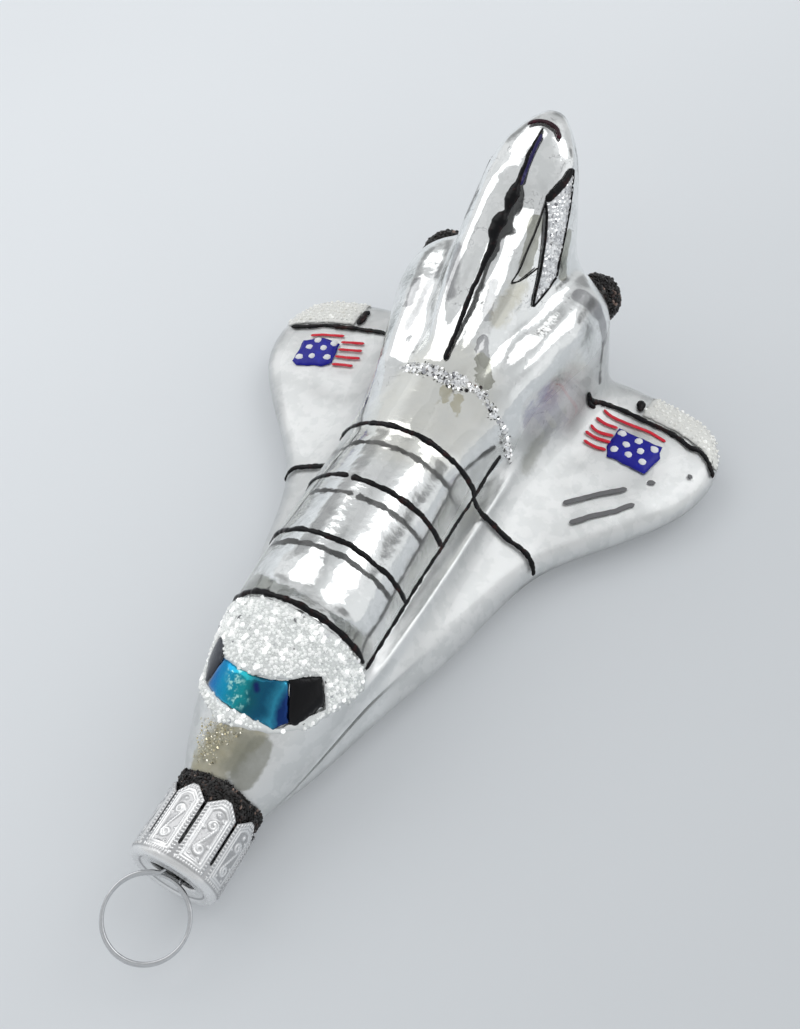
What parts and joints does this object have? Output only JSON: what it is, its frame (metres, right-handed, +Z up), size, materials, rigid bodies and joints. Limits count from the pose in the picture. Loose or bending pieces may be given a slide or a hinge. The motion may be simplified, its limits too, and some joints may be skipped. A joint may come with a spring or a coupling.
{
  "type": "glass space shuttle ornament",
  "caption": "Blown and silvered glass ornament shaped as a winged space shuttle, with painted and glittered coats, a crown cap that pulls off and a wire hanging ring.",
  "frame": {"origin": "middle of the overall box, at the floor under the belly", "axes": "+Y runs from the hanging ring to the tail, +Z is up, and +X is the side on the right for someone who faces the nose from behind the ring and looks along +Y"},
  "size_m": [0.0746, 0.123, 0.0432],
  "materials": {
    "silvered_glass": "clear blown glass, silvered inside",
    "cap_metal": "embossed silver-coloured sheet",
    "wire": "bright spring wire",
    "black_glitter": "coarse black glitter in glue",
    "white_glitter": "white glitter in glue",
    "silver_glitter": "silver glitter in glue",
    "teal_lacquer": "translucent lacquer",
    "black_paint": "raised gloss paint",
    "grey_paint": "thin grey paint",
    "flag_paint": "red, white and blue paint"
  },
  "bodies": {
    "glass": {"glass_body": "silvered_glass", "neck_glitter": "black_glitter", "pod_glitter_left": "black_glitter", "pod_glitter_right": "black_glitter", "nose_glitter": "white_glitter", "elevon_glitter_left": "white_glitter", "elevon_glitter_right": "white_glitter", "glitter_arc": "silver_glitter", "fin_panel_left": "silver_glitter", "fin_panel_right": "silver_glitter", "windshield": "teal_lacquer", "window_left": "black_paint", "window_right": "black_paint", "bay_line_1": "black_paint", "bay_line_2": "black_paint", "bay_line_3": "black_paint", "bay_line_4": "black_paint", "side_line_left": "black_paint", "side_line_right": "black_paint", "wing_line_left": "black_paint", "wing_line_right": "black_paint", "hinge_line_left": "black_paint", "hinge_line_right": "black_paint", "fin_stripe": "black_paint", "wing_stroke_1": "grey_paint", "wing_stroke_2": "grey_paint", "flag_left": "flag_paint", "flag_right": "flag_paint", "elevon_line_left": "black_paint", "elevon_line_right": "black_paint", "fin_tip_line": "black_paint", "wing_stroke_3": "grey_paint"},
    "cap": {"crown_cap": "cap_metal"},
    "hanger": {"wire_hanger": "wire"}
  },
  "joints": [
    {"name": "cap_slide", "type": "slide", "parent": "glass", "child": "cap", "axis": [0, -1, 0], "range_m": [0, 0.014]},
    {"name": "ring_swing", "type": "hinge", "parent": "cap", "child": "hanger", "pos_m": [0, -0.05063, 0.00765], "axis": [-0.9511, 0, 0.309], "range_deg": [0, 20]}
  ]
}
